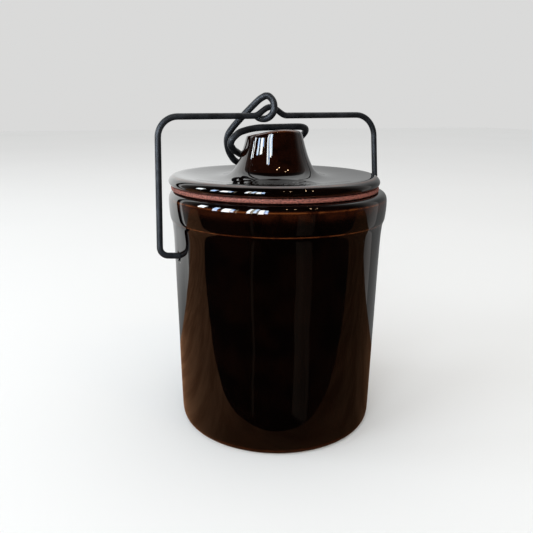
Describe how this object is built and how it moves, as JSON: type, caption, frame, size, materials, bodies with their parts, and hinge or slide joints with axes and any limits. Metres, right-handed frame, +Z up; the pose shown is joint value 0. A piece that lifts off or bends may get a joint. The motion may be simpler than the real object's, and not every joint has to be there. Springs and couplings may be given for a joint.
{
  "type": "butter crock",
  "caption": "Stoneware butter crock with a rolled rim, a knobbed lid on a rubber gasket, and a hinged wire bail whose wire lever clamps the lid.",
  "frame": {"origin": "on the standing surface, at the centre of the crock's foot", "axes": "+Z up along the crock's axis; +X along the bail's hinge line; -Y is the side the bail swings open to"},
  "size_m": [0.1244, 0.108, 0.1655],
  "materials": {
    "crock_glaze": "glossy black-brown glaze that breaks amber where it is thin; bare foot ring",
    "lid_glaze": "glossy black-brown glaze that breaks amber where it is thin",
    "gasket_rubber": "matt, aged pink-red rubber",
    "wire_steel": "dark, dulled steel wire"
  },
  "bodies": {
    "crock": {"crock_body": "crock_glaze"},
    "lid": {"lid": "lid_glaze", "rubber_gasket": "gasket_rubber"},
    "bail": {"bail_wire": "wire_steel"},
    "lever": {"lever_wire": "wire_steel"}
  },
  "joints": [
    {"name": "bail_swing", "type": "hinge", "parent": "crock", "child": "bail", "pos_m": [0, 0, 0.0894], "axis": [1, 0, 0], "range_deg": [0, 38]},
    {"name": "lever_swing", "type": "hinge", "parent": "bail", "child": "lever", "pos_m": [-0.002, 0.00509, 0.15874], "axis": [1, 0, 0], "range_deg": [0, 121.8]},
    {"name": "lid_lift", "type": "slide", "parent": "crock", "child": "lid", "axis": [0, 0, 1], "range_m": [0, 0.00505]}
  ],
  "couplings": [
    {"joint": "lever_swing", "follows": "bail_swing", "ratio": 3.2},
    {"joint": "lid_lift", "follows": "bail_swing", "m_per_rad": 0.00754}
  ]
}
